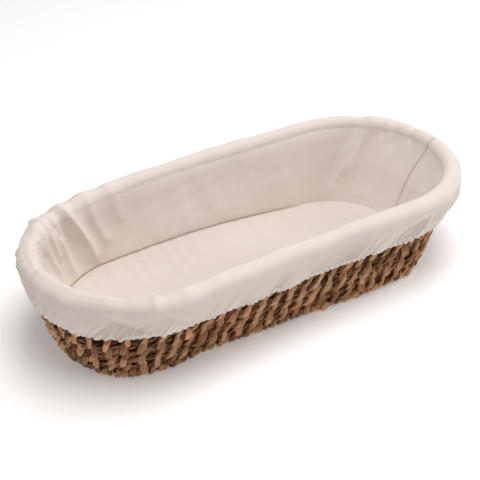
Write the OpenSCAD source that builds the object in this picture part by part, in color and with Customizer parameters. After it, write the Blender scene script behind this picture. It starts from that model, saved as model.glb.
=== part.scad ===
// Long oval proving basket: coils of twisted seagrass laced together rib by rib,
// with a lift-off cotton liner that folds over the rim and is held by an elastic hem.
// The origin is at the middle of the foot, on the surface that the basket stands on.

/* [Overall] */
// Length over the folded liner
overall_l = 380; // [330:5:420]
// Width over the folded liner
overall_w = 175; // [175:1:190]
// Height from the foot to the top of the folded liner
overall_h = 82; // [80:1:90]
// How far the middle of the wall leans out between the foot and the rim
wall_lean = 21.8; // [18:0.1:22]

/* [Coils] */
// Diameter of a coil in the base and in the wall
coil_d = 7.6; // [7:0.1:7.6]
// Diameter of the thicker coil that the basket stands on
foot_d = 9; // [8:0.5:9]
// Diameter of the bound coil at the rim
rim_d = 10.4; // [9:0.2:10.4]
// Height of the middle of the foot coil, so that its underside is worn flat
foot_z = 4.2; // [3.5:0.1:4.3]
// Number of coils in the wall, between the foot and the rim
wall_coils = 8; // [7:1:8]
// Number of oval rings in the base, inside the foot coil
base_rings = 6; // [5:1:6]

/* [Lacing] */
// Diameter of a lacing strand
lace_d = 1.2; // [0.8:0.1:1.3]
// Spacing of the lacing ribs round the wall
rib_pitch = 12; // [10:1:16]

/* [Liner] */
// Thickness of the cloth
cloth = 1.2; // [0.8:0.1:1.3]
// Height of the lower edge of the outer skirt
hem_z = 48; // [35:1:50]
// Height of the folded hem casing
casing_h = 8; // [7:0.5:10]
// Width of the flat elastic inside the casing
elastic_w = 5; // [3:0.5:5.5]

/* [Hidden] */
$fn = 48;
air = 0.3;                                   // clearance between the liner and the basket
touch = 0.05;                                // gap between laid-together pieces of one body
rim_wrap = 1;                                // lacing over the rim coil
fold_r = rim_d / 2 + rim_wrap + air / 2 + cloth;   // outer radius of the cloth fold over the rim
end_r = overall_w / 2;                       // radius of the round ends over the fold
half_run = (overall_l - overall_w) / 2;      // half length of the straight sides
rim_r = end_r - fold_r;                      // path of the rim coil
rim_z = overall_h - fold_r;
foot_r = rim_r - wall_lean;                  // path of the foot coil
lean = wall_lean / (rim_z - foot_z);         // outward lean for each millimetre up
tilt = atan(lean);
first_z = foot_z + (foot_d / 2 + coil_d / 2 + 2 * touch) * cos(tilt);   // lowest wall coil
last_z = rim_z - (rim_d / 2 + coil_d / 2 + 2 * touch) * cos(tilt);      // highest wall coil
coil_step = (last_z - first_z) / (wall_coils - 1);
ring_step = foot_r / (base_rings + 1);
base_z = coil_d / 2 + touch + lace_d + 0.15; // middle of the base rings, raised off the surface
lace_off = coil_d / 2 + touch + lace_d / 2;  // lacing strand from the middle of the coils
lace_low = foot_z + foot_d / 2 + lace_d / 2 + 0.5;
lace_high = rim_z - rim_d / 2 - lace_d / 2 - 0.5;
floor_z = base_z + coil_d / 2 + lace_d + 0.4;   // underside of the liner floor
seam_r = 1;                                  // half thickness of the bound floor seam
seam_z = floor_z + cloth + 0.3;
wall_off = coil_d / 2 + touch + lace_d + air;   // outer face of the liner wall from the coils
wall_foot_z = seam_z + seam_r + touch;
floor_r = wall_r(wall_foot_z) - 2 * seam_r - cloth / 2;
casing_in = 1.4;                             // the casing stands this far inside the skirt
skirt_top_r = end_r - cloth;                 // inner face of the skirt
skirt_foot_r = out_r(hem_z + casing_h) + lace_d / 2 + air + casing_in;
casing_t = 3.2;
casing_wall = 0.9;
elastic_t = 1;

// Radius of the coils' middle line at height z, of the faces on each side of it, and of the
// hem casing's inner face.
function mid_r(z) = foot_r + lean * (z - foot_z);
function wall_r(z) = mid_r(z) - wall_off / cos(tilt);
function out_r(z) = mid_r(z) + lace_off / cos(tilt);
function casing_r(z) = skirt_foot_r - casing_in - lean * (hem_z + casing_h - z);

// Sweeps the profile, drawn as (distance from the end centre, height), round the long oval.
module oval_sweep() {
    for (side = [0, 1]) rotate([0, 0, 180 * side]) {
        translate([half_run, 0, 0]) rotate([0, 0, -90]) rotate_extrude(angle = 180, $fn = 96)
            children();
        translate([-half_run, 0, 0]) rotate([90, 0, 90]) mirror([1, 0, 0])
            linear_extrude(2 * half_run) children();
    }
}

// One coil laid round the oval.
module coil(path_r, path_z, d) {
    oval_sweep() translate([path_r, path_z]) circle(d = d);
}

// Lays a child at each rib round the oval, with its +X pointing outward from the path.
module around(path_r) {
    side_ribs = floor(2 * half_run / rib_pitch);
    end_ribs = round(180 * path_r / rib_pitch * PI / 180);
    for (side = [0, 1]) rotate([0, 0, 180 * side]) {
        for (i = [0:side_ribs - 1])
            translate([-half_run + (i + 0.5) * 2 * half_run / side_ribs, 0, 0])
                rotate([0, 0, 90]) children();
        for (i = [0:end_ribs - 1])
            translate([half_run, 0, 0])
                rotate([0, 0, -90 + (i + 0.5) * 180 / end_ribs]) children();
    }
}

// A straight strand between two (distance, height) points of the upright plane.
module strand(from, to, d) {
    run = to - from;
    translate([from[0], 0, from[1]]) rotate([0, atan2(run[0], run[1]), 0])
        cylinder(h = norm(run), d = d, $fn = 16);
}

module base_core() {
    color([0.50, 0.39, 0.28]) {
        translate([-half_run, 0, base_z]) rotate([0, 90, 0]) cylinder(h = 2 * half_run, d = coil_d);
        for (x = [-half_run, half_run]) translate([x, 0, base_z]) sphere(d = coil_d);
    }
}

module base_ring(i) {
    color([0.52, 0.41, 0.30]) coil(i * ring_step, base_z, coil_d);
}

module foot_coil() {
    color([0.40, 0.31, 0.23]) oval_sweep() intersection() {
        translate([foot_r, foot_z]) circle(d = foot_d);
        translate([foot_r - foot_d, 0]) square([2 * foot_d, 2 * foot_d]);
    }
}

module wall_coil(i) {
    z = first_z + (i - 1) * coil_step;
    color([0.47, 0.36, 0.26]) coil(mid_r(z), z, coil_d);
}

module rim_coil() {
    color([0.47, 0.36, 0.26]) coil(rim_r, rim_z, rim_d);
}

// Strands that lace each coil to the one below it, along ribs on both faces of the wall.
module wall_lacing() {
    color([0.62, 0.50, 0.37]) around(mid_r(overall_h / 2))
        for (face = [-1, 1]) {
            off = face * lace_off / cos(tilt);
            strand([mid_r(lace_low) + off, lace_low], [mid_r(lace_high) + off, lace_high], lace_d);
        }
}

// Strands that lace the base rings, in rows on both faces of the base.
module base_lacing() {
    row_end = foot_r - foot_d / 2 - lace_d / 2 - 0.4;
    color([0.62, 0.50, 0.37]) around(mid_r(overall_h / 2))
        for (face = [-1, 1]) {
            z = base_z + face * lace_off;
            strand([3 * ring_step, z], [row_end, z], lace_d);
        }
}

module liner_floor() {
    color([0.93, 0.88, 0.82]) translate([0, 0, floor_z]) linear_extrude(cloth) union() {
        square([2 * half_run, 2 * floor_r], center = true);
        for (x = [-half_run, half_run]) translate([x, 0]) circle(floor_r, $fn = 96);
    }
}

module floor_seam() {
    color([0.80, 0.69, 0.57]) coil(floor_r + seam_r + touch, seam_z, 2 * seam_r);
}

module liner_wall() {
    low = wall_foot_z;
    top = rim_z - touch;
    fold_in = rim_r - fold_r;
    color([0.95, 0.90, 0.84]) oval_sweep() polygon([
        [wall_r(low), low], [fold_in + cloth, top], [fold_in, top], [wall_r(low) - cloth, low]
    ]);
}

// The cloth's turn over the rim.
module liner_fold() {
    color([0.98, 0.94, 0.88]) oval_sweep() translate([rim_r, rim_z]) intersection() {
        difference() {
            circle(fold_r);
            circle(fold_r - cloth);
        }
        translate([-2 * fold_r, 0]) square([4 * fold_r, 2 * fold_r]);
    }
}

module liner_skirt() {
    low = hem_z + casing_h + touch;
    top = rim_z - touch;
    color([0.95, 0.90, 0.84]) oval_sweep() polygon([
        [skirt_foot_r, low], [skirt_foot_r + cloth, low], [end_r, top], [skirt_top_r, top]
    ]);
}

// The hem folded back on itself as a flat tube, leaning in to hug the basket.
module hem_casing() {
    color([0.91, 0.86, 0.79]) oval_sweep() difference() {
        casing_outline(0);
        casing_outline(casing_wall);
    }
}

module casing_outline(inset) {
    low = hem_z + inset;
    top = hem_z + casing_h - inset;
    polygon([
        [casing_r(low) + inset, low], [casing_r(low) + casing_t - inset, low],
        [casing_r(top) + casing_t - inset, top], [casing_r(top) + inset, top]
    ]);
}

module hem_elastic() {
    low = hem_z + (casing_h - elastic_w) / 2;
    top = low + elastic_w;
    inner = (casing_t - elastic_t) / 2;
    color([0.96, 0.96, 0.94]) oval_sweep() polygon([
        [casing_r(low) + inner, low], [casing_r(low) + inner + elastic_t, low],
        [casing_r(top) + inner + elastic_t, top], [casing_r(top) + inner, top]
    ]);
}

// The line of thread that closes the casing, on the outside of the skirt.
module hem_thread() {
    z = hem_z + casing_h + 1.2;
    r = skirt_foot_r + cloth + (end_r - skirt_foot_r - cloth) * 1.2 / (rim_z - hem_z - casing_h);
    color([0.86, 0.80, 0.72]) coil(r + 0.35, z, 0.5);
}

// The upright seam that joins the ends of the wall band, at one round end.
module wall_seam() {
    low = wall_foot_z + 0.5;
    top = rim_z - 1;
    fold_in = rim_r - fold_r;
    foot_in = wall_r(wall_foot_z) - cloth;
    slope = atan((fold_in - foot_in) / (rim_z - touch - wall_foot_z));
    color([0.88, 0.81, 0.73]) translate([half_run + foot_in - touch - 0.9, 0, wall_foot_z])
        rotate([0, slope, 0]) translate([0, -1.5, low - wall_foot_z]) cube([0.8, 3, top - low]);
}

base_core();
for (i = [1:base_rings]) base_ring(i);
foot_coil();
for (i = [1:wall_coils]) wall_coil(i);
rim_coil();
wall_lacing();
base_lacing();
liner_floor();
liner_wall();
liner_fold();
liner_skirt();
hem_casing();
hem_elastic();
hem_thread();
floor_seam();
wall_seam();
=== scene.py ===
"""Oval proving basket of coiled, laced seagrass with a gathered cotton liner."""
import math
import bpy
import numpy as np
from mathutils import Matrix, Vector


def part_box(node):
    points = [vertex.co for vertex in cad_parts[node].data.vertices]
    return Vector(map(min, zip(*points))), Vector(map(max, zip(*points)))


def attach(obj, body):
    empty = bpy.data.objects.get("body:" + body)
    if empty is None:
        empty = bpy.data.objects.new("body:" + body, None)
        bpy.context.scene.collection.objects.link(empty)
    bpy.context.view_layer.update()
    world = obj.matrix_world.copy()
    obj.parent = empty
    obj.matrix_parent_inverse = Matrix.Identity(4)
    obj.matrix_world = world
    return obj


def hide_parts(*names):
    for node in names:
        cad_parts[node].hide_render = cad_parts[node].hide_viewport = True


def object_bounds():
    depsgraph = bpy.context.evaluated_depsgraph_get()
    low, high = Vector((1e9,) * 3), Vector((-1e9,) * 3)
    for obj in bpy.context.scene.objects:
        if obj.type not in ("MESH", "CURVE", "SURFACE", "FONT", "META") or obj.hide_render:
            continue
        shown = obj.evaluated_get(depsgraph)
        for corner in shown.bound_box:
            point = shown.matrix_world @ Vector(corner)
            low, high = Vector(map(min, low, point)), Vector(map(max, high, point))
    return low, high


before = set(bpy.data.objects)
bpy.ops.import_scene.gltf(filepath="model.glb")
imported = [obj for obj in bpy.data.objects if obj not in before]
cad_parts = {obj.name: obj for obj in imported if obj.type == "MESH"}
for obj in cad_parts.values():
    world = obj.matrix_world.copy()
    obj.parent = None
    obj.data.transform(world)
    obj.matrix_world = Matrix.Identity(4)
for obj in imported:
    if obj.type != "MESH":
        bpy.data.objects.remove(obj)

cad_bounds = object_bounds()
MM = 0.001
TAU = 2 * math.pi
UP = np.array([0, 0, 1.0])
WHITE = (1, 1, 1)


# ---------------------------------------------------------------- sizes from the frame

def coil_path(node, diameter=None):
    """Path radius, height and diameter of a CAD coil, from its box."""
    lo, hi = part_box(node)
    d = diameter or hi[2] - lo[2]
    return hi[1] - d / 2, hi[2] - d / 2, d


low, high = cad_bounds
HALF_RUN = ((high[0] - low[0]) - (high[1] - low[1])) / 2     # half of a straight side
FOOT_R, FOOT_Z, FOOT_D = coil_path("foot_coil", 9 * MM)      # worn flat, so its box is lower
RIM_R, RIM_Z, RIM_D = coil_path("rim_coil")
WALL_COILS = sorted((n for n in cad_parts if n.startswith("wall_coil_")),
                    key=lambda n: int(n.split("_")[-1]))
BASE_RINGS = sorted((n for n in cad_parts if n.startswith("base_ring_")),
                    key=lambda n: int(n.split("_")[-1]))
COIL_D = coil_path(WALL_COILS[0])[2]
MID_R = (FOOT_R + RIM_R) / 2                                 # where distances are measured
END = math.pi * MID_R                                        # round one end
SIDE = 2 * HALF_RUN                                          # along one side
ROUND = 2 * (END + SIDE)                                     # all the way round
TILT = math.atan((RIM_R - FOOT_R) / (RIM_Z - FOOT_Z))        # outward lean of the wall
RIB_PITCH = 12 * MM                                          # between ribs of lacing
CLOTH_HALF = 0.6 * MM                                        # half the CAD cloth's thickness
FOLD_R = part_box("liner_fold")[1][1] - RIM_R - CLOTH_HALF     # middle of the cloth over the rim
HEM_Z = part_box("hem_casing")[0][2]
CASING_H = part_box("hem_casing")[1][2] - HEM_Z
SKIRT_IN = 0.9 * MM                                          # cloth inside the casing's face
SKIRT_FOOT_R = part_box("hem_casing")[1][1] - CASING_H * math.tan(TILT) - SKIRT_IN
SEAM_R, SEAM_Z, _ = coil_path("floor_seam")


# ---------------------------------------------------------------- the oval and its noise

def oval(s):
    """Centres and outward normals at distance s round the oval, from the -Y side of the +X end."""
    s = np.mod(np.asarray(s, float), ROUND)
    turned = s >= ROUND / 2
    u = np.where(turned, s - ROUND / 2, s)
    angle = np.where(u < END, u / MID_R - math.pi / 2, math.pi / 2)
    x = np.where(u < END, HALF_RUN, HALF_RUN - (u - END))
    flip = np.where(turned, -1.0, 1.0)
    zero = np.zeros_like(x)
    centre = np.stack([x * flip, zero, zero], -1)
    normal = np.stack([np.cos(angle) * flip, np.sin(angle) * flip, zero], -1)
    return centre, normal


def along(normal):
    """The direction of travel round the oval, for outward normals."""
    return np.stack([-normal[..., 1], normal[..., 0], np.zeros_like(normal[..., 0])], -1)


def hash01(n, seed):
    """A repeatable value from 0 to 1 for each whole number."""
    x = np.sin(np.asarray(n, float) * 127.1 + seed * 311.7) * 43758.5453
    return x - np.floor(x)


def waves(s, count, seed):
    """Smooth closed noise round the oval, -1 to 1, with about count humps."""
    t = np.mod(np.asarray(s, float) / ROUND, 1.0) * count
    i = np.floor(t)
    f = t - i
    f = f * f * (3 - 2 * f)
    a = hash01(np.mod(i, count), seed)
    b = hash01(np.mod(i + 1, count), seed)
    return 2 * (a * (1 - f) + b * f) - 1


def bump(x, centre, width):
    """A smooth hump of height 1."""
    return np.exp(-(((x - centre) / width) ** 2))


def apart(s, centre):
    """Signed shortest distance round the oval from centre to s."""
    return np.mod(s - centre + ROUND / 2, ROUND) - ROUND / 2


def smooth(x, a, b):
    """0 below a, 1 above b, smooth between."""
    t = np.clip((x - a) / (b - a), 0, 1)
    return t * t * (3 - 2 * t)


# Humps along X, across the basket: each row is height, place and half width in millimetres.
NEAR_RIM = ((3.6, 38, 75), (-1.2, -95, 40))
NEAR_FOOT = ((3.3, -68, 38), (-2.4, -148, 30), (-4.2, 85, 55))
FAR_RIM = ((2.2, -15, 60), (-4.0, -120, 38), (-1.5, 145, 40))


def humps(x, rows):
    """The sum of a table's humps at x."""
    return sum(height * MM * bump(x, place * MM, width * MM) for height, place, width in rows)


def settle(points):
    """Draws the plain oval into the hand-made basket's own shape: its rim sits a little towards +X,
    the near side is waisted at the rim and swells and narrows at the foot, and the far side of the
    rim bows out in the middle and is drawn in and low near the -X end."""
    x, y, z = points[:, 0], points[:, 1], points[:, 2]
    high = smooth(z, 0.35 * RIM_Z, RIM_Z)
    top = smooth(z, 0.58 * RIM_Z, RIM_Z)
    low = 1 - smooth(z, 4 * MM, 0.66 * RIM_Z)
    near = smooth(-y, 0, 0.6 * RIM_R)
    far = smooth(y, 0, 0.6 * RIM_R)
    out = points.copy()
    out[:, 1] += (near * (humps(x, NEAR_RIM) * high + humps(x, NEAR_FOOT) * low)
                  + far * high * humps(x, FAR_RIM))
    out[:, 0] += top * (3.8 * MM + 2.0 * MM * smooth(x, HALF_RUN, HALF_RUN + RIM_R))
    out[:, 2] -= top * far * 2.0 * MM * bump(x, -130 * MM, 50 * MM)
    return out


# ---------------------------------------------------------------- mesh building

class Strands:
    """Collects tubes and sheets, each a grid of points, into one mesh."""

    def __init__(self):
        self.points, self.faces, self.uvs, self.tints, self.count = [], [], [], [], 0

    def add(self, grid, uv, tint=0.5, close_rows=False, close_columns=False):
        """Adds a grid of points, rows by columns, joined end to end where it's closed."""
        rows, cols = grid.shape[:2]
        index = np.arange(rows * cols).reshape(rows, cols) + self.count
        r0 = np.arange(rows if close_rows else rows - 1)
        c0 = np.arange(cols if close_columns else cols - 1)
        r, c = np.meshgrid(r0, c0, indexing="ij")
        r1, c1 = (r + 1) % rows, (c + 1) % cols
        quads = np.stack([index[r, c], index[r, c1], index[r1, c1], index[r1, c]], -1)
        corner = np.stack([uv[r, c], uv[r, c1], uv[r1, c1], uv[r1, c]], -2)
        if close_columns:                                    # carry v on past the joining edge
            step = uv[0, 1, 1] - uv[0, 0, 1]
            last = (c == cols - 1)
            corner[last, 1:3, 1] = corner[last, 0:1, 1] + step
        if close_rows:                                       # and u
            step = uv[1, 0, 0] - uv[0, 0, 0]
            last = (r == rows - 1)
            corner[last, 2:4, 0] = corner[last, 0:1, 0] + step
        self.points.append(grid.reshape(-1, 3))
        self.faces.append(quads.reshape(-1, 4))
        self.uvs.append(corner.reshape(-1, 2))
        self.tints.append(np.full(rows * cols, tint) if np.isscalar(tint) else tint.reshape(-1))
        self.count += rows * cols

    def cap(self, first, size, centre, tint):
        """Closes a tube's end, size points from index first, with a fan about centre."""
        self.points.append(np.asarray(centre, float).reshape(1, 3))
        self.tints.append(np.array([tint]))
        a = np.arange(size)
        tri = np.stack([first + a, first + (a + 1) % size, np.full(size, self.count)], -1)
        self.faces.append(np.concatenate([tri, tri[:, 2:3]], -1))
        self.uvs.append(np.zeros((size * 4, 2)))
        self.count += 1

    def make(self, name, material, body, node_names):
        """The finished piece, settled into shape and riding its body."""
        points = settle(np.concatenate(self.points))
        faces = np.concatenate(self.faces)
        uvs = np.concatenate(self.uvs)
        three = faces[:, 2] == faces[:, 3]
        sizes = np.where(three, 3, 4)
        keep = np.ones(faces.shape, bool)
        keep[three, 3] = False
        mesh = bpy.data.meshes.new(name)
        mesh.vertices.add(len(points))
        mesh.vertices.foreach_set("co", points.astype(np.float32).ravel())
        mesh.loops.add(int(sizes.sum()))
        mesh.loops.foreach_set("vertex_index", faces[keep].astype(np.int32))
        mesh.polygons.add(len(faces))
        starts = np.concatenate([[0], np.cumsum(sizes)[:-1]]).astype(np.int32)
        mesh.polygons.foreach_set("loop_start", starts)
        mesh.update(calc_edges=True)
        layer = mesh.uv_layers.new(name="run")
        layer.data.foreach_set("uv", uvs[keep.ravel()].astype(np.float32).ravel())
        tint = mesh.attributes.new("tint", "FLOAT", "POINT")
        tint.data.foreach_set("value", np.concatenate(self.tints).astype(np.float32))
        mesh.validate()
        mesh.polygons.foreach_set("use_smooth", np.ones(len(mesh.polygons), bool))
        mesh.materials.append(material)
        piece = bpy.data.objects.new(name, mesh)
        bpy.context.scene.collection.objects.link(piece)
        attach(piece, body)
        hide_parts(*node_names)
        return piece


def directions(path, closed):
    """Unit directions along a path."""
    if closed:
        d = np.roll(path, -1, 0) - np.roll(path, 1, 0)
    else:
        d = np.gradient(path, axis=0)
    return d / np.linalg.norm(d, axis=1, keepdims=True)


def tube(strands, path, flat, half_w, half_t, sides=10, closed=False, tint=0.5, grooves=0.0,
         twist=0.0, uv_u=None):
    """A strand along path. flat is the direction of its width at each point; grooves is the depth
    of its four furrows, and twist how far they turn at each step."""
    n = len(path)
    ahead = directions(path, closed)
    w = flat - ahead * np.sum(flat * ahead, 1, keepdims=True)
    w /= np.linalg.norm(w, axis=1, keepdims=True)
    t = np.cross(ahead, w)
    theta = np.arange(sides) / sides * TAU
    turn = theta[None, :] + np.zeros((n, 1))
    half_w = np.broadcast_to(half_w, (n,))[:, None]
    half_t = np.broadcast_to(half_t, (n,))[:, None]
    round_ = 1 + grooves * np.cos(4 * turn + twist * np.arange(n)[:, None])
    grid = (path[:, None] + w[:, None] * (np.cos(turn) * half_w * round_)[..., None]
            + t[:, None] * (np.sin(turn) * half_t * round_)[..., None])
    step = np.linalg.norm(np.diff(path, axis=0), axis=1)
    u = np.concatenate([[0], np.cumsum(step)]) if uv_u is None else uv_u
    v = theta[None, :] / TAU * (math.pi * (half_w + half_t)).mean()
    uv = np.stack(np.broadcast_arrays(u[:, None], v), -1).copy()
    first = strands.count
    strands.add(grid, uv, tint, close_rows=closed, close_columns=True)
    if not closed:
        strands.cap(first, sides, path[0] - ahead[0] * half_t[0] * 0.6, tint)
        strands.cap(first + (n - 1) * sides, sides, path[-1] + ahead[-1] * half_t[-1] * 0.6, tint)


# ---------------------------------------------------------------- materials

class Nodes:
    """Short calls for building a material's node tree."""

    def __init__(self, name):
        self.material = bpy.data.materials.new(name)
        self.material.use_nodes = True
        self.tree = self.material.node_tree
        self.shader = self.tree.nodes["Principled BSDF"]

    def node(self, kind, **values):
        made = self.tree.nodes.new(kind)
        for key, value in values.items():
            setattr(made, key, value)
        return made

    def link(self, a, b):
        self.tree.links.new(a, b)

    def stretched(self, source, scale):
        """The source's coordinates, scaled along each axis."""
        mapping = self.node("ShaderNodeMapping")
        mapping.inputs["Scale"].default_value = scale
        self.link(source, mapping.inputs["Vector"])
        return mapping.outputs["Vector"]

    def noise(self, vector, detail, rough=0.55):
        made = self.node("ShaderNodeTexNoise")
        made.inputs["Scale"].default_value = 1.0             # the vector is already stretched
        made.inputs["Detail"].default_value = detail
        made.inputs["Roughness"].default_value = rough
        self.link(vector, made.inputs["Vector"])
        return made.outputs["Fac"]

    def ramp(self, value, stops):
        made = self.node("ShaderNodeValToRGB")
        points = made.color_ramp.elements
        while len(points) < len(stops):
            points.new(0.5)
        for point, (place, colour) in zip(points, stops):
            point.position = place
            point.color = (*colour, 1)
        self.link(value, made.inputs["Fac"])
        return made.outputs["Color"]

    def math(self, operation, a, b):
        made = self.node("ShaderNodeMath", operation=operation)
        for socket, value in zip(made.inputs, (a, b)):
            if isinstance(value, (int, float)):
                socket.default_value = value
            else:
                self.link(value, socket)
        return made.outputs["Value"]

    def mix(self, kind, factor, a, b):
        made = self.node("ShaderNodeMix", data_type="RGBA", blend_type=kind)
        for socket, value in ((made.inputs[0], factor), (made.inputs[6], a), (made.inputs[7], b)):
            if isinstance(value, (int, float)):
                socket.default_value = value
            elif isinstance(value, tuple):
                socket.default_value = (*value, 1)
            else:
                self.link(value, socket)
        return made.outputs[2]

    def bump(self, height, strength, distance, after=None):
        made = self.node("ShaderNodeBump")
        made.inputs["Strength"].default_value = strength
        made.inputs["Distance"].default_value = distance
        self.link(height, made.inputs["Height"])
        if after is not None:
            self.link(after, made.inputs["Normal"])
        return made.outputs["Normal"]

    def set(self, name, value):
        socket = self.shader.inputs[name]
        if isinstance(value, (int, float)):
            socket.default_value = value
        elif isinstance(value, tuple):
            socket.default_value = value if len(value) == len(socket.default_value) else (*value, 1)
        else:
            self.link(value, socket)


def seagrass(name, dark, middle, pale):
    """Dry twisted grass: long fibres along each strand, each strand its own tone. The mesh's tint
    also carries painted highlights and painted shade.
    """
    m = Nodes(name)
    run = m.node("ShaderNodeUVMap", uv_map="run").outputs["UV"]
    place = m.node("ShaderNodeTexCoord").outputs["Object"]
    tint = m.node("ShaderNodeAttribute", attribute_name="tint").outputs["Fac"]
    fibres = m.noise(m.stretched(run, (140, 2600, 1)), detail=4)
    coarse = m.noise(m.stretched(run, (75, 820, 1)), detail=3, rough=0.6)
    patches = m.noise(m.stretched(place, (70, 70, 70)), detail=2)
    tone = m.math("ADD", m.math("MULTIPLY", tint, 0.90),
                  m.math("MULTIPLY", m.math("SUBTRACT", coarse, 0.38), 1.1))
    tone = m.math("ADD", tone, m.math("MULTIPLY", m.math("SUBTRACT", patches, 0.5), 0.45))
    colour = m.ramp(tone, [(0.06, dark), (0.42, middle), (0.86, pale)])
    warm = m.ramp(m.noise(m.stretched(place, (45, 45, 45)), detail=1),
                  [(0.36, (0.93, 0.97, 0.80)), (0.5, WHITE), (0.66, (1.14, 0.90, 0.88))])
    colour = m.mix("MULTIPLY", 0.55, colour, warm)
    streak = m.ramp(fibres, [(0.30, (0.52, 0.47, 0.42)), (0.55, WHITE), (0.8, (1.25, 1.2, 1.12))])
    m.set("Base Color", m.mix("MULTIPLY", 0.85, colour, streak))
    m.set("Roughness", 0.66)
    m.set("Specular IOR Level", 0.22)
    m.set("Sheen Weight", 0.03)
    m.set("Sheen Roughness", 0.5)
    m.set("Normal", m.bump(fibres, 0.7, 0.25 * MM, m.bump(coarse, 1.0, 1.1 * MM)))
    return m.material


def cotton(name, colour, pitch=0.42 * MM, weave=0.5):
    """Plain-weave cloth: crossing threads of uneven thickness, with a soft nap. The mesh's tint
    paints shade into it: darker in the valleys of its gathers and where the skirt hangs."""
    m = Nodes(name)
    run = m.node("ShaderNodeUVMap", uv_map="run").outputs["UV"]
    place = m.node("ShaderNodeTexCoord").outputs["Object"]
    split = m.node("ShaderNodeSeparateXYZ")
    m.link(run, split.inputs[0])
    threads = []
    for axis, slub_scale in (("X", (30, 1500, 1)), ("Y", (1500, 30, 1))):
        slub = m.noise(m.stretched(run, slub_scale), detail=1)
        phase = m.math("MULTIPLY", split.outputs[axis], TAU / pitch / 2)
        wave = m.math("ABSOLUTE", m.math("SINE", phase, 0.0), 0.0)
        threads.append(m.math("MULTIPLY", wave, m.math("ADD", slub, 0.5)))
    cloth = m.math("ADD", threads[0], threads[1])
    nap = m.noise(m.stretched(place, (900, 900, 900)), detail=3)
    soft = m.noise(m.stretched(place, (22, 22, 22)), detail=3)
    fleck = m.noise(m.stretched(run, (260, 900, 1)), detail=2)
    shade = m.ramp(soft, [(0.3, tuple(c * 0.965 for c in colour)), (0.7, colour)])
    # painted shade, carried by the mesh's tint: darker in the gathers' valleys and on the hanging
    # skirt
    painted_crease_shade = m.node("ShaderNodeAttribute", attribute_name="tint").outputs["Fac"]
    for strength, value, stops in (
            (0.35, cloth, [(0.2, (0.86, 0.84, 0.81)), (1.1, WHITE)]),
            (1.0, painted_crease_shade, [(0.15, (0.74, 0.70, 0.67)), (0.5, (0.96, 0.95, 0.94)), (0.75, WHITE)]),
            (0.5, fleck, [(0.28, (0.93, 0.91, 0.87)), (0.42, WHITE)])):
        shade = m.mix("MULTIPLY", strength, shade, m.ramp(value, stops))
    m.set("Base Color", shade)
    m.set("Roughness", 0.9)
    m.set("Specular IOR Level", 0.2)
    m.set("Sheen Weight", 0.25)
    m.set("Sheen Roughness", 0.45)
    m.set("Subsurface Weight", 0.12)
    m.set("Subsurface Radius", (0.004, 0.003, 0.002))
    m.set("Subsurface Scale", 0.5)
    m.set("Normal", m.bump(cloth, weave, 0.12 * MM, m.bump(nap, 0.3, 0.1 * MM)))
    return m.material


# the coils are the lacing's seagrass made far darker: painted shade for the coils recessed between
# the ribs
GRASS_COIL_PAINTED_SHADE = seagrass("seagrass_coil", (0.018, 0.007, 0.0025), (0.10, 0.042, 0.016),
                      (0.36, 0.19, 0.084))
GRASS_LACE = seagrass("seagrass_lacing", (0.050, 0.019, 0.007), (0.28, 0.127, 0.056),
                      (0.78, 0.47, 0.26))
COTTON = cotton("cotton", (0.875, 0.79, 0.735))
# the binding's brown is partly its own colour and partly painted shadow along the seams' creases
BINDING_AND_PAINTED_SHADOW = cotton("seam_binding", (0.62, 0.47, 0.34), pitch=0.35 * MM, weave=0.9)
# the liner's own cotton made darker: painted shade for the floor panel deep inside the basket
FLOOR_COTTON_PAINTED_SHADE = cotton("floor_cotton_painted_shade", (0.79, 0.715, 0.675))
THREAD = cotton("thread", (0.86, 0.79, 0.735), pitch=0.3 * MM, weave=0.9)
ELASTIC = cotton("elastic", (0.88, 0.86, 0.82), pitch=0.8 * MM, weave=1.0)


# ---------------------------------------------------------------- seagrass coils

ROPE_STEPS = 560


def rope(strands, path_r, path_z, diameter, turns, seed, rise):
    """A coil of two twisted plies round the oval at that path radius and height, with a flat
    filling that closes it against its neighbours. rise is the filling's lean from upright."""
    s = np.arange(ROPE_STEPS) / ROPE_STEPS * ROUND
    centre, normal = oval(s)
    wobble = 0.25 * MM * waves(s, 61, seed)
    sag = 0.25 * MM * waves(s, 47, seed + 5)
    axis = centre + normal * (path_r + wobble)[:, None] + UP * (path_z + sag)[:, None]
    for ply in (0, 1):
        phase = TAU * (turns * s / ROUND + ply / 2) + 0.5 * waves(s, 40, seed + 9)
        off = diameter * 0.235
        line = axis + (normal * np.cos(phase)[:, None] + UP * np.sin(phase)[:, None]) * off
        thick = diameter * (0.262 + 0.03 * waves(s, 83, seed + ply))
        tint = 0.5 + 0.35 * np.repeat(waves(s, 37, seed + 20 + ply)[:, None], 10, 1)
        tube(strands, line, normal, thick, thick, closed=True, grooves=0.10, twist=0.9, tint=tint,
             uv_u=s)
    slope = normal * math.sin(rise) + UP * math.cos(rise)
    # the filling, sunk in the groove between coils, is darker than the plies: painted shade
    tube(strands, centre + normal * path_r + UP * path_z, slope, diameter * 0.54, diameter * 0.25,
         sides=8, closed=True, grooves=0.05, tint=0.3, uv_u=s)


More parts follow.
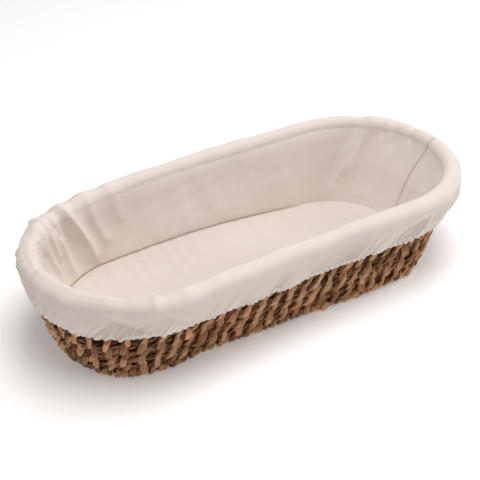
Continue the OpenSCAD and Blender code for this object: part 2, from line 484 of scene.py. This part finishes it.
def loop(strands, s, path_r, path_z, tilt, out, height, width, thick, lean, seed, steps=22,
         sides=8, floor=None, plies=1, low=TAU * 0.93):
    """A lacing loop round a coil: fat where it lies on the outer face at low, pointed where it is
    pulled through. out and height are its reach from the coil's middle, across and up the wall;
    lean is how far its top lies ahead of its foot; plies is the number of strands side by side;
    floor is a height that it never goes below."""
    psi = np.arange(steps) / steps * TAU
    centre, normal = oval(np.array([s]))
    centre, normal = centre[0], normal[0]
    ahead = along(normal)
    slope_out = normal * math.cos(tilt) - UP * math.sin(tilt)
    slope_up = normal * math.sin(tilt) + UP * math.cos(tilt)
    middle = centre + normal * path_r + UP * path_z
    from_low = np.abs(np.mod(psi - low - 0.5 * (hash01(seed, 21) - 0.5) + math.pi, TAU) - math.pi)
    swell = np.clip(1 - (from_low / 1.5) ** 2, 0, 1)
    inner = np.exp(-(((psi - math.pi) / 0.9) ** 2))
    side = np.where(np.cos(psi) > -0.2, 1, -0.6)
    base_tint = 0.12 + 0.5 * hash01(seed, 3)
    for ply in range(plies):
        place = (ply - (plies - 1) / 2) * 1.15 * width / plies
        wander = (hash01(seed + ply, 22) - 0.5) * 0.25 * width
        half_w = width / plies ** 0.75 * (0.20 + 0.80 * np.maximum(swell, 0.6 * inner))
        half_t = thick * (0.45 + 0.55 * swell) * (0.85 + 0.3 * hash01(seed + ply, 23))
        reach = (out * (0.93 + 0.13 * swell)
                 + (hash01(seed + ply, 24) - 0.5) * 0.7 * MM * (plies > 1))
        spread = place * (0.35 + 0.65 * swell) + wander
        path = (middle + slope_out * (np.cos(psi) * reach)[:, None]
                + slope_up * (np.sin(psi) * height)[:, None]
                + ahead * (side * np.sin(psi) * lean + spread)[:, None])
        if floor is not None:
            path[:, 2] = np.maximum(path[:, 2], floor + half_t)
        flat = np.repeat(ahead[None], steps, 0) + slope_up * (hash01(seed + ply, 25) - 0.3)
        turn = np.arange(sides) / sides * TAU
        # painted highlight: one side of each ply is paler, as if lit from that side
        edge = np.maximum(np.cos(turn - 0.5), 0) ** 3
        # tone per ply: random per loop, paler on the exposed belly and darker where it is pulled in
        # between the coils, partly worn tone and partly painted shade, plus the painted highlight
        tint = (base_tint + 0.12 * (hash01(seed + ply, 26) - 0.5)
                + 0.30 * (swell[:, None] - 0.4) + 0.42 * edge)
        tube(strands, path, flat, half_w, half_t, sides=sides, closed=True, grooves=0.10,
             twist=0.35 * (1 if ply % 2 else -1), tint=tint,
             uv_u=psi * (out + height) / 2 + hash01(seed, 27))
    if plies > 1:                                            # a pale strand along the rib's edge: real grass, its paleness a painted highlight
        proud = out + (0.2 + 0.9 * hash01(seed, 28)) * thick * swell
        beside = side * np.sin(psi) * lean + (0.55 + 0.5 * hash01(seed, 29)) * width * swell
        edge = (middle + slope_out * (np.cos(psi) * proud)[:, None]
                + slope_up * (np.sin(psi) * height)[:, None] + ahead * beside[:, None])
        if floor is not None:
            edge[:, 2] = np.maximum(edge[:, 2], floor + 0.45 * MM)
        tube(strands, edge, np.repeat(ahead[None], steps, 0), 0.42 * MM, 0.42 * MM, sides=5,
             closed=True, tint=min(base_tint + 0.42, 0.95), uv_u=psi * height)


def rib_places(path_r):
    """Where the ribs cross a coil: evenly along the sides and round the ends."""
    side_n = int(SIDE / RIB_PITCH)
    end_n = round(math.pi * path_r / RIB_PITCH)
    ends = (np.arange(end_n) + 0.5) / end_n * END
    sides = END + (np.arange(side_n) + 0.5) / side_n * SIDE
    half = np.concatenate([ends, sides])
    return np.concatenate([half, half + ROUND / 2])


def build_wall():
    """The wall's coils, each with its row of loops and the loose strands across it."""
    ribs = rib_places(MID_R)
    for k, node in enumerate(WALL_COILS):
        r, z, d = coil_path(node)
        body = Strands()
        rope(body, r, z, d, turns=46 + k % 3, seed=11 + k, rise=TILT)
        body.make(node + "_rope", GRASS_COIL_PAINTED_SHADE, "basket", [node])
        laces = Strands()
        snug = float(smooth(z, HEM_Z - 12 * MM, HEM_Z))        # pressed flat under the liner
        for i, s in enumerate(ribs):
            seed = i * 17 + k * 131
            jog = (hash01(seed, 1) - 0.5) * 2.6 * MM + 0.8 * MM * (-1) ** k
            lean = (2.6 + 4.6 * (hash01(seed, 2) - 0.5)) * MM
            fat = 0.72 + 0.5 * hash01(seed, 4)
            slant = 0.08 + 0.20 * float(smooth(oval(np.array([s]))[0][0, 0], -HALF_RUN, HALF_RUN))
            at = s + slant * (z - FOOT_Z)
            out = d / 2 + (0.5 + (1.1 - 0.9 * snug) * hash01(seed, 5)) * MM
            loop(laces, at + jog, r, z, TILT, out, (6.6 + 1.2 * hash01(seed, 15)) * MM,
                 2.6 * MM * fat, (1.6 - 0.8 * snug) * MM * fat, lean, seed, plies=2, low=TAU * 0.05)
            for extra in range(2 if snug > 0.6 else 6):      # fewer where the liner hides them
                cross_strand(laces, at, r, z, seed + 7 * extra, snug)
        laces.make(f"wall_lacing_{k + 1}", GRASS_LACE, "basket", ["wall_lacing"])


def cross_strand(strands, rib, path_r, path_z, seed, snug):
    """A thin curled strand lying across the coil between one rib and the next."""
    n = 9
    t = np.linspace(0, 1, n)
    arch = np.sin(math.pi * t)
    span = RIB_PITCH * (0.7 + 0.4 * hash01(seed, 6))
    s = rib + span * (t + 0.12 * (hash01(seed, 11) - 0.5))
    centre, normal = oval(s)
    swing = (hash01(seed, 7) - 0.3) * 9.5 * MM
    curl = (hash01(seed, 8) - 0.5) * 7.5 * MM
    offset = (hash01(seed, 12) - 0.5) * 4.5 * MM
    z = path_z + offset + swing * (t - 0.5) + curl * arch
    depth = (COIL_D / 2 - 0.5 * MM - 0.12 * np.abs(offset)
             + (0.4 + (1.0 - 0.8 * snug) * hash01(seed, 13)) * MM * arch)
    r = path_r + (z - path_z) * math.tan(TILT) + depth
    path = centre + normal * r[:, None] + UP * z[:, None]
    half = (0.35 + 0.6 * hash01(seed, 9)) * MM * (0.7 + 0.5 * arch)
    # each strand's tone is random but kept low: partly its own tone, partly painted shade in the
    # recess between the ribs
    tube(strands, path, np.repeat(UP[None], n, 0), half, half * 0.8, sides=6,
         tint=0.55 * hash01(seed, 10) ** 1.5)


def build_foot():
    """The foot coil and the plump loops over it, twice as close as the wall's."""
    body = Strands()
    rope(body, FOOT_R, FOOT_Z, FOOT_D * 0.86, turns=40, seed=3, rise=TILT)
    body.make("foot_coil_rope", GRASS_COIL_PAINTED_SHADE, "basket", ["foot_coil"])
    laces = Strands()
    count = round(ROUND / (RIB_PITCH / 2))
    for i in range(count):
        s = (i + 0.5) / count * ROUND + (hash01(i, 31) - 0.5) * 2.2 * MM
        fat = 0.8 + 0.42 * hash01(i, 32)
        loop(laces, s, FOOT_R, FOOT_Z + (0.3 + 0.8 * hash01(i, 35)) * MM, 0.0,
             (3.7 + 1.3 * hash01(i, 33)) * MM, (4.6 + 0.9 * hash01(i, 36)) * MM, 2.6 * MM * fat,
             1.35 * MM * fat, (0.2 + 2.6 * hash01(i, 34)) * MM, i * 7 + 5, floor=0.0, plies=2)
    knot(laces, 773 * MM)
    knot(laces, 17 * MM)
    laces.make("foot_lacing", GRASS_LACE, "basket", ["foot_coil"])


def knot(strands, s):
    """A strand's end, tied off at the foot: one fat loop and its stub."""
    loop(strands, s, FOOT_R, FOOT_Z + 0.3 * MM, 0.0, 6.0 * MM, 4.6 * MM, 3.4 * MM, 1.7 * MM,
         1.2 * MM, 77, floor=0.0)
    loop(strands, s + 3 * MM, FOOT_R + 1 * MM, FOOT_Z + 1 * MM, 0.0, 4.8 * MM, 3.4 * MM, 2.2 * MM,
         1.4 * MM, -2.0 * MM, 78, floor=0.0)


def build_rim():
    """The rim coil and its close binding."""
    body = Strands()
    rope(body, RIM_R, RIM_Z, RIM_D * 0.88, turns=42, seed=71, rise=TILT)
    body.make("rim_coil_rope", GRASS_COIL_PAINTED_SHADE, "basket", ["rim_coil"])
    laces = Strands()
    count = round(ROUND / (RIB_PITCH / 2))
    for i in range(count):
        s = (i + 0.5) / count * ROUND + (hash01(i, 51) - 0.5) * MM
        loop(laces, s, RIM_R, RIM_Z, 0.0, RIM_D / 2 - 0.2 * MM, RIM_D / 2 - 0.2 * MM,
             2.9 * MM, 0.5 * MM, 2.4 * MM, i * 3 + 900)
    laces.make("rim_binding", GRASS_LACE, "basket", ["rim_coil"])


def build_base():
    """The core rope along the middle, the oval rings round it and the loops between them."""
    lo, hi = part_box("base_core")
    z, d = (lo[2] + hi[2]) / 2, hi[2] - lo[2]
    core = Strands()
    n = 120
    x = np.linspace(-HALF_RUN, HALF_RUN, n)
    for ply in (0, 1):
        phase = TAU * (x / (15 * MM) + ply / 2)
        path = np.stack([x, np.cos(phase) * d * 0.23, z + np.sin(phase) * d * 0.23], -1)
        tube(core, path, np.repeat(UP[None], n, 0), d * 0.26, d * 0.26, grooves=0.1, twist=0.9,
             tint=0.4 + 0.2 * ply)
    core.make("base_core_rope", GRASS_COIL_PAINTED_SHADE, "basket", ["base_core"])
    laces = Strands()
    for k, node in enumerate(BASE_RINGS):
        r, z, d = coil_path(node)
        ring = Strands()
        rope(ring, r, z, d, turns=round((2 * SIDE + TAU * r) / (17 * MM)), seed=101 + k,
             rise=math.pi / 2)
        ring.make(node + "_rope", GRASS_COIL_PAINTED_SHADE, "basket", [node])
        for i, s in enumerate(rib_places(r)):
            seed = i * 19 + k * 57 + 2000
            loop(laces, s + (hash01(seed, 1) - 0.5) * MM, r - 0.8 * MM, z, 0.0, 5.0 * MM,
                 d / 2 + 0.65 * MM, 2.0 * MM, 0.6 * MM, 1.2 * MM, seed, steps=16, sides=6)
    laces.make("base_lacing_loops", GRASS_LACE, "basket", ["base_lacing"])


# ---------------------------------------------------------------- cotton liner

FLOOR_SHIFT = -10 * MM            # the floor panel stops short of the wall at the +X end
WALL_SEAM_S = END / 2 - 7 * MM    # the +X end's upright seam
WALL_LEN = math.hypot(RIM_Z - SEAM_Z, RIM_R - FOLD_R - SEAM_R)
FOLD_LEN = math.pi * FOLD_R
SKIRT_LEN = math.hypot(RIM_Z - HEM_Z, RIM_R + FOLD_R - SKIRT_FOOT_R)
TURN_UP = CASING_H - 1.5 * MM
# Lengths up the cloth from the floor seam: to the crest over the rim, to the top of the skirt,
# to the hem and to the turned-up edge.
CREST_T = WALL_LEN + FOLD_LEN / 2
SKIRT_T = WALL_LEN + FOLD_LEN
HEM_T = SKIRT_T + SKIRT_LEN
BAND_LEN = HEM_T + TURN_UP


def band_profile(t):
    """(distance from the centre line, height, normal out, normal up) at length t up the wall,
    over the rim and down the skirt. The normal points to the cloth's outer side."""
    wall_run = np.clip(t / WALL_LEN, 0, 1)
    in_r = RIM_R - FOLD_R
    r = SEAM_R + (in_r - SEAM_R) * wall_run
    z = SEAM_Z + (RIM_Z - SEAM_Z) * wall_run
    nr = np.full_like(t, -math.cos(TILT))
    nz = np.full_like(t, math.sin(TILT))
    turn = np.clip((t - WALL_LEN) / FOLD_LEN, 0, 1) * math.pi
    over = t > WALL_LEN
    r = np.where(over, RIM_R - FOLD_R * np.cos(turn), r)
    z = np.where(over, RIM_Z + FOLD_R * np.sin(turn), z)
    nr = np.where(over, -np.cos(turn), nr)
    nz = np.where(over, np.sin(turn), nz)
    down = np.clip((t - WALL_LEN - FOLD_LEN) / SKIRT_LEN, 0, 1)
    hang = t > SKIRT_T
    out_r = RIM_R + FOLD_R
    belly = 1.8 * MM * np.sin(math.pi * down ** 0.8)
    foot_r = SKIRT_FOOT_R - 0.6 * MM
    r = np.where(hang, out_r + (foot_r - out_r) * down + belly, r)
    z = np.where(hang, RIM_Z + (HEM_Z - RIM_Z) * down, z)
    nr = np.where(hang, 1.0, nr)
    nz = np.where(hang, 0.15, nz)
    back = np.clip((t - WALL_LEN - FOLD_LEN - SKIRT_LEN) / TURN_UP, 0, 1)
    turned = back > 0
    hook = smooth(back, 0, 0.25)
    r = np.where(turned, foot_r - 2.0 * MM * hook, r)
    up_in = HEM_Z + TURN_UP * np.maximum(back - 0.05, 0) - 0.5 * MM * np.sin(math.pi * hook)
    z = np.where(turned, up_in, z)
    nr = np.where(turned, 1.0, nr)
    nz = np.where(turned, 0.0, nz)
    return r, z, nr, nz


# Folds that show plainly: a route of (distance round, distance up the cloth), then half width
# and height, all in millimetres. A negative height is a valley. They are, in order, round the
# -X end inside and over the rim, on the skirt at the -X end, inside the +X end, and on the skirt
# from the near side round to the +X end.
FOLDS = [
    ([(451, 72), (442, 52), (430, 26), (427, 8)], 5.0, 5.0),
    ([(456, 74), (456, 58), (449, 36), (446, 8)], 4.0, -1.2),
    ([(464, 77), (464, 58), (456, 31), (454, 9)], 4.5, 2.8),
    ([(465, 82), (466, 69), (461, 53)], 2.6, -2.0),
    ([(470, 82), (475, 64), (467, 35)], 4.0, 2.8),
    ([(439, 77), (442, 59)], 2.2, -1.2),
    ([(429, 80), (426, 56), (414, 24)], 4.0, 1.4),
    ([(408, 76), (400, 42)], 6.0, 1.4),
    ([(489, 77), (495, 71), (487, 48)], 2.2, -2.0),
    ([(480, 77), (483, 57), (472, 23)], 3.5, 2.0),
    ([(497, 63), (499, 75), (502, 87)], 2.2, 1.9),
    ([(506, 61), (508, 75), (511, 90)], 1.9, 1.6),
    ([(515, 63), (517, 75), (520, 88)], 2.0, 1.7),
    ([(528, 69), (530, 79), (535, 88)], 2.2, -2.0),
    ([(543, 67), (546, 83)], 5.0, 1.2),
    ([(588, 67), (587, 79)], 4.0, 1.1),
    ([(600, 71), (601, 83)], 4.0, -1.3),
    ([(618, 69), (617, 83)], 2.6, 1.5),
    ([(623, 71), (625, 83)], 3.0, -1.2),
    ([(630, 71), (632, 83)], 4.5, -1.2),
    ([(611, 93), (618, 87)], 1.3, 0.9),
    ([(614, 95), (621, 90)], 1.1, 0.7),
    ([(607, 92), (613, 87)], 1.0, 0.6),
    ([(584, 85), (597, 96)], 5.0, -1.5),
    ([(597, 96), (613, 106)], 2.6, -1.7),
    ([(624, 94), (640, 106)], 3.2, -1.5),
    ([(562, 87), (576, 98)], 6.0, 1.3),
    ([(652, 88), (673, 104)], 7.0, -1.0),
    ([(170, 74), (180, 50), (185, 26)], 6.5, -1.6),
    ([(160, 72), (166, 51), (167, 30)], 5.0, 1.5),
    ([(151, 73), (150, 62)], 2.8, -1.8),
    ([(141, 73), (139, 56)], 3.2, -1.7),
    ([(127, 87), (123, 64)], 3.2, -1.5),
    ([(179, 19), (176, 31)], 1.2, 1.5),
    ([(172, 26), (171, 36)], 1.1, 1.2),
    ([(160, 6), (142, 10)], 2.6, 0.9),
    ([(843, 98), (851, 94)], 2.2, -2.2),
    ([(830, 103), (837, 97)], 2.0, -1.4),
    ([(808, 104), (816, 97)], 2.0, -1.3),
    ([(865, 101), (872, 91)], 3.0, 2.0),
    ([(882, 104), (888, 93)], 3.0, 1.8),
    ([(730, 104), (742, 93)], 4.5, -0.9),
]


def fold(s, t, route, width, height):
    """One fold's rise at each point: a rounded ridge along its route, fading at its ends."""
    length = np.full(s.shape, 1e9)
    for (s0, t0), (s1, t1) in zip(route, route[1:]):
        ds, dt = (s1 - s0) * MM, (t1 - t0) * MM
        x, y = apart(s, s0 * MM), t - t0 * MM
        share = np.clip((x * ds + y * dt) / (ds * ds + dt * dt), 0, 1)
        length = np.minimum(length, np.hypot(x - share * ds, (y - share * dt) * 0.75))
    return height * MM * np.exp(-(((length / (width * MM)) ** 2 + 0.03) ** 0.72) + 0.08)


def gathers(s, above_hem):
    """The narrow puckers that the elastic draws up along the hem: round ridges between sharp
    valleys, each with its own height and reach, leaning as they rise."""
    count = round(ROUND / (4.7 * MM))
    x = s - 0.40 * above_hem * (1 + 0.8 * waves(s, 17, 4)) + 1.9 * MM * waves(s, 83, 5)
    cell = np.mod(x / ROUND, 1.0) * count
    index = np.floor(cell)
    ridge = np.sin(math.pi * (cell - index)) ** 0.65
    tall = 0.35 + 1.15 * hash01(index, 6)
    reach = (3.5 + 10.5 * hash01(index, 8) ** 1.4) * MM
    ends = 1 + 0.55 * bump(apart(s, 0), 0, 55 * MM) + 0.3 * bump(apart(s, 590 * MM), 0, 90 * MM)
    narrow = 2.1 * MM * tall * (ridge - 0.35) * np.exp(-(above_hem / reach) ** 1.3)
    broad = 1.1 * MM * waves(s - 0.5 * above_hem, 52, 2) * np.exp(-(above_hem / (13 * MM)) ** 2)
    return ends * (narrow + broad)


def skirt_gap(t):
    """How far the cloth can sink before it meets the basket, at each length along it."""
    r, z, _, _ = band_profile(t)
    wall = FOOT_R + (z - FOOT_Z) * math.tan(TILT) + COIL_D / 2 + 2.7 * MM
    hang = smooth(t, WALL_LEN + FOLD_LEN * 0.9, WALL_LEN + FOLD_LEN * 1.3)
    return (0.5 * MM + 0.5 * MM * bump(t, CREST_T, 12 * MM)
            + hang * np.maximum(r - wall - CLOTH_HALF, 0))


def band_relief(s, t):
    """How far the cloth stands off its plain shape, along its outer normal."""
    past = t - CREST_T
    inside = 1 - smooth(t, WALL_LEN * 0.9, WALL_LEN + FOLD_LEN * 0.35)
    outside = smooth(t, CREST_T, CREST_T + 10 * MM)
    relief = gathers(s, np.abs(HEM_T - t)) * outside
    middle = np.sin(math.pi * np.clip(past / (HEM_T - CREST_T), 0, 1)) ** 0.7
    slant = s + past * (0.9 + 0.7 * waves(s, 9, 17))
    sway = 0.9 * MM * waves(slant, 34, 3) + 0.5 * MM * waves(slant, 83, 18)
    relief = relief + sway * outside * middle
    drape = waves(s + 0.3 * t, 26, 11) * waves(t * 2.5 + s * 0.6, 30, 12)
    hollow = np.sin(math.pi * np.clip(t / WALL_LEN, 0, 1)) ** 0.6
    relief = relief + 0.7 * MM * np.abs(drape) * inside * hollow
    relief = relief + 1.2 * MM * (1 + waves(s + 0.25 * t, 19, 13)) * inside * hollow
    relief = relief + 0.6 * MM * waves(s - 0.3 * t, 58, 19) * inside * hollow
    relief = relief + 0.5 * MM * waves(s, 150, 14) * np.exp(-t / (5 * MM)) * inside
    relief = relief + 0.45 * MM * waves(s + 0.35 * past, 90, 15) * bump(t, CREST_T, 11 * MM)
    relief = relief + 0.9 * MM * waves(s + 0.5 * past, 33, 16) * bump(t, CREST_T, 17 * MM)
    relief = relief + 1.9 * MM * bump(t, WALL_LEN - 3 * MM, 17 * MM) * (t < CREST_T)   # bridging
    clear = smooth(t, 1 * MM, 14 * MM)                       # the seam pulls the folds flat
    for route, width, height in FOLDS:
        relief = relief + fold(s, t, route, width, height) * clear
    spare = relief + skirt_gap(t)                            # never sinks into the basket
    return np.logaddexp(0, spare * 5 / MM) * MM / 5 - skirt_gap(t)


# How far up the wall the floor seam rides, at places along X, in millimetres.
SEAM_X = [-156, -130, -100, -60, -20, 10, 40, 70, 95, 120, 150]
SEAM_RISE = [8, 9.5, 12, 13, 13, 11.5, 9, 6, 3.2, 1.2, 0.6]


def seam_start(s):
    """How far up the wall the floor panel's seam rides: the cloth is taut along the sides."""
    centre, normal = oval(s)
    x = centre[..., 0] + normal[..., 0] * SEAM_R
    return np.interp(x / MM, SEAM_X, SEAM_RISE) * MM


def floor_shift(s, t):
    """How far along X the cloth is drawn, towards the floor panel, at the +X end."""
    centre, normal = oval(s)
    far = smooth(centre[..., 0] + normal[..., 0] * SEAM_R, 0.6 * HALF_RUN, HALF_RUN + SEAM_R)
    height = np.clip(t / WALL_LEN, 0, 1)
    return FLOOR_SHIFT * far * (1 - height) ** 1.35


def band_points(s, t, lift=0.0):
    """Points on the cloth band at distance s round it and t along its width."""
    start = seam_start(s)
    r, z, nr, nz = band_profile(np.where(t < WALL_LEN, start + t * (1 - start / WALL_LEN), t))
    off = band_relief(s, t) + lift
    centre, normal = oval(s)
    r = r + nr * off
    scallop = 0.8 * MM * waves(s, 120, 7) + 1.0 * MM * waves(s, 19, 8)
    z = z + nz * off + scallop * bump(t, HEM_T, 9 * MM)
    points = centre + normal * r[..., None]
    points[..., 2] = z
    points[..., 0] += floor_shift(s, t)
    return points


def painted_shade_tone(s, t):
    """Painted shade for the cloth at each point: darker where the skirt hangs and in the
    valleys of the gathers."""
    painted_skirt_shade = smooth(t, WALL_LEN + 0.7 * FOLD_LEN, WALL_LEN + 1.6 * FOLD_LEN)
    return np.clip(0.75 - 0.33 * painted_skirt_shade + 0.45 * gathers(s, np.abs(HEM_T - t)) / MM, 0, 1)


def build_band():
    """The wall, the fold over the rim, the skirt and its turned-up hem, as one cloth. Its grid is
    finest where it gathers, and stays under 200,000 triangles."""
    steps = 1280
    wall_t = np.arange(0, WALL_LEN, 2.3 * MM)
    fold_t = np.arange(WALL_LEN, SKIRT_T, 1.5 * MM)
    skirt_t = np.arange(SKIRT_T, BAND_LEN, 1.15 * MM)
    t = np.concatenate([wall_t, fold_t, skirt_t, [BAND_LEN]])
    s = np.arange(steps) / steps * ROUND
    ss, tt = np.meshgrid(s, t, indexing="ij")
    cloth = Strands()
    # the cloth's tint here is painted shade: darker in the gathers' valleys and on the hanging
    # skirt
    cloth.add(band_points(ss, tt), np.stack([ss, tt], -1), painted_shade_tone(ss, tt), close_rows=True)
    band = cloth.make("liner_band", COTTON, "liner",
                      ["liner_wall", "liner_fold", "liner_skirt", "hem_casing"])


def seam_line(s):
    """The joint of the floor panel and the wall band."""
    return band_points(s, np.zeros_like(s))


def build_floor():
    """The floor panel: rings of points from its seam in to a line along its middle."""
    n = 1200
    s = np.arange(n) / n * ROUND
    edge = seam_line(s)
    rings = 40
    share = 1 - (1 - np.linspace(0, 1, rings)) ** 1.4
    spine = np.stack([np.clip(edge[:, 0], -HALF_RUN, HALF_RUN + FLOOR_SHIFT), 0 * s, 0 * s], -1)
    floor_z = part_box("liner_floor")[0][2] + CLOTH_HALF
    grid = np.empty((rings, n, 3))
    for i, f in enumerate(share):
        flat = spine + (edge - spine) * f
        inward = np.linalg.norm((edge - flat)[:, :2], axis=1)
        rise = (edge[:, 2] - floor_z) * np.exp(-inward / (3 * MM + 1.1 * (edge[:, 2] - floor_z)))
        x, y = flat[:, 0], flat[:, 1]
        ease = smooth(inward, 0, 9 * MM)
        wander = x / (17 * MM) + 1.3 * np.sin(y / (21 * MM))
        ripple = 0.35 * MM * np.sin(wander) * np.sin(y / (13 * MM))
        pucker = 0.3 * MM * waves(s, 150, 21) * np.exp(-inward / (6 * MM))
        flat[:, 2] = floor_z + rise + ripple * ease + pucker * ease
        grid[i] = flat
    cloth = Strands()
    uv = grid[..., :2].copy()
    cloth.add(grid[::-1].transpose(1, 0, 2), uv[::-1].transpose(1, 0, 2), close_rows=True)
    # the floor panel wears the darker cotton: painted shade
    floor = cloth.make("liner_floor_panel", FLOOR_COTTON_PAINTED_SHADE, "liner", ["liner_floor"])


# The upright seam's folded strip across its width: distance along the wall and height off it, mm.
WALL_SEAM_PROFILE = ((-1.6, 0.02), (-1.5, 0.35), (-0.3, 0.42), (-0.1, 0.10), (0.1, 0.42),
                     (1.3, 0.35), (1.4, 0.02))


def build_seams():
    """The bound floor seam, the upright seam at the +X end and the hem's stitches."""
    n = 900
    s = np.arange(n) / n * ROUND
    line = seam_line(s)
    _, normal = oval(s)
    line[:, 2] += 0.25 * MM - 1.1 * MM * smooth(line[:, 0], 50 * MM, 105 * MM)
    seam = Strands()
    half = 0.52 * MM * (1 + 0.25 * waves(s, 300, 41))
    # the floor seam's binding: brown, partly painted shadow in the seam's crease
    tube(seam, line - normal * 0.35 * MM, normal, half, half * 0.85, sides=8, closed=True, uv_u=s)
    seam.make("floor_seam_binding", BINDING_AND_PAINTED_SHADOW, "liner", ["floor_seam"])

    t = np.linspace(1.5 * MM, WALL_LEN + FOLD_LEN * 0.55, 90)
    at = (WALL_SEAM_S + 2 * MM + 3.5 * MM * np.sin(math.pi * np.clip(t / WALL_LEN, 0, 1))
          + 1 * MM * smooth(t, WALL_LEN, WALL_LEN * 1.2))
    columns = [band_points(at + off * MM, t, lift * MM) for off, lift in WALL_SEAM_PROFILE]
    across = np.arange(len(columns))[None] * 0.5 * MM
    strip = Strands()
    strip.add(np.stack(columns, 1), np.stack(np.broadcast_arrays(t[:, None], across), -1).copy())
    strip.make("wall_seam_fold", COTTON, "liner", ["wall_seam"])
    # the lap's edge in the binding's brown, partly painted shadow along the lap
    edge = Strands()
    path = band_points(at - 1.6 * MM, t, 0.15 * MM)
    tube(edge, path, along(oval(at)[1]), 0.32 * MM, 0.22 * MM, sides=6)
    edge.make("wall_seam_edge", BINDING_AND_PAINTED_SHADOW, "liner", ["wall_seam"])

    stitches = Strands()
    count = round(ROUND / (2.9 * MM))
    n = 6
    for i in range(count):
        ss = (i + np.linspace(0.1, 0.82, n)) / count * ROUND
        path = band_points(ss, np.full(n, HEM_T - CASING_H), -0.02 * MM)
        tube(stitches, path, np.tile(UP, (n, 1)), 0.13 * MM, 0.1 * MM, sides=5)
    stitches.make("hem_stitches", THREAD, "liner", ["hem_thread"])


def build_elastic():
    """The flat elastic, drawn up inside the casing."""
    lo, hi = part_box("hem_elastic")
    n = 700
    s = np.arange(n) / n * ROUND
    centre, normal = oval(s)
    mid_r = hi[1] - 1.6 * MM
    rib = 0.18 * MM * np.cos(s / (1.1 * MM) * TAU)
    path = centre + normal * (mid_r + rib)[:, None]
    path[:, 2] = (lo[2] + hi[2]) / 2
    band = Strands()
    tube(band, path, np.tile(UP, (n, 1)), (hi[2] - lo[2]) / 2, 0.4 * MM, sides=12, closed=True,
         uv_u=s)
    band.make("hem_elastic_band", ELASTIC, "liner", ["hem_elastic"])


# ---------------------------------------------------------------- camera, lights and floor

def build_stage():
    """A pale floor just below the foot, a warm dim world and two softboxes."""
    scene = bpy.context.scene
    mesh = bpy.data.meshes.new("studio_floor")
    size = 6.0
    mesh.from_pydata([(-size, -size, 0), (size, -size, 0), (size, size, 0), (-size, size, 0)], [],
                     [(0, 1, 2, 3)])
    floor = bpy.data.objects.new("studio_floor", mesh)
    scene.collection.objects.link(floor)
    floor.location.z = -0.2 * MM
    m = Nodes("studio_floor")
    place = m.node("ShaderNodeTexCoord").outputs["Object"]
    grain = m.noise(m.stretched(place, (40, 40, 40)), detail=2)
    m.set("Base Color", m.ramp(grain, [(0.3, (0.955, 0.955, 0.955)), (0.7, (0.965, 0.965, 0.965))]))
    m.set("Roughness", 0.8)
    m.set("Specular IOR Level", 0.1)
    m.set("Emission Color", (1.0, 1.0, 1.0))
    m.set("Emission Strength", 0.20)
    mesh.materials.append(m.material)

    world = bpy.data.worlds.new("studio")
    world.use_nodes = True
    background = world.node_tree.nodes["Background"]
    background.inputs["Color"].default_value = (1.0, 0.935, 0.90, 1)
    background.inputs["Strength"].default_value = 0.27
    scene.world = world
    scene.view_settings.view_transform = "Standard"
    scene.view_settings.look = "None"

    def area(name, place, target, size, power, colour):
        light = bpy.data.lights.new(name, "AREA")
        light.shape = "RECTANGLE"
        light.size, light.size_y = size
        light.energy = power
        light.color = colour
        lamp = bpy.data.objects.new(name, light)
        scene.collection.objects.link(lamp)
        lamp.location = place
        toward = Vector(target) - Vector(place)
        lamp.rotation_euler = toward.to_track_quat("-Z", "Y").to_euler()

    area("overhead_softbox", (0.12, -0.10, 1.38), (0, 0, 0.03), (1.2, 0.8), 15.0,
         (1.0, 0.99, 0.985))
    area("right_softbox", (1.25, -0.15, 0.85), (0, 0, 0.04), (0.45, 0.45), 4.0, (1.0, 0.97, 0.94))


CAMERA_PLACE = Vector((-0.3961, -0.6286, 0.5428))
CAMERA_AIM = Vector((0.0051, 0.0176, 0.0300))
CAMERA_LENS = 83.49                  # mm, on a 36 mm sensor
CAMERA_ROLL = -0.57                  # degrees


def build_camera():
    """The photograph's view, solved from the basket's outlines in it."""
    scene = bpy.context.scene
    camera = bpy.data.objects.new("camera", bpy.data.cameras.new("camera"))
    scene.collection.objects.link(camera)
    scene.camera = camera
    camera.data.sensor_width = 36
    camera.data.lens = CAMERA_LENS
    camera.data.dof.use_dof = False
    look = (CAMERA_AIM - CAMERA_PLACE).to_track_quat("-Z", "Y").to_matrix().to_4x4()
    roll = Matrix.Rotation(math.radians(CAMERA_ROLL), 4, "Z")
    camera.matrix_world = Matrix.Translation(CAMERA_PLACE) @ look @ roll


build_stage()
build_camera()
build_base()
build_foot()
build_wall()
build_rim()
build_band()
build_floor()
build_seams()
build_elastic()
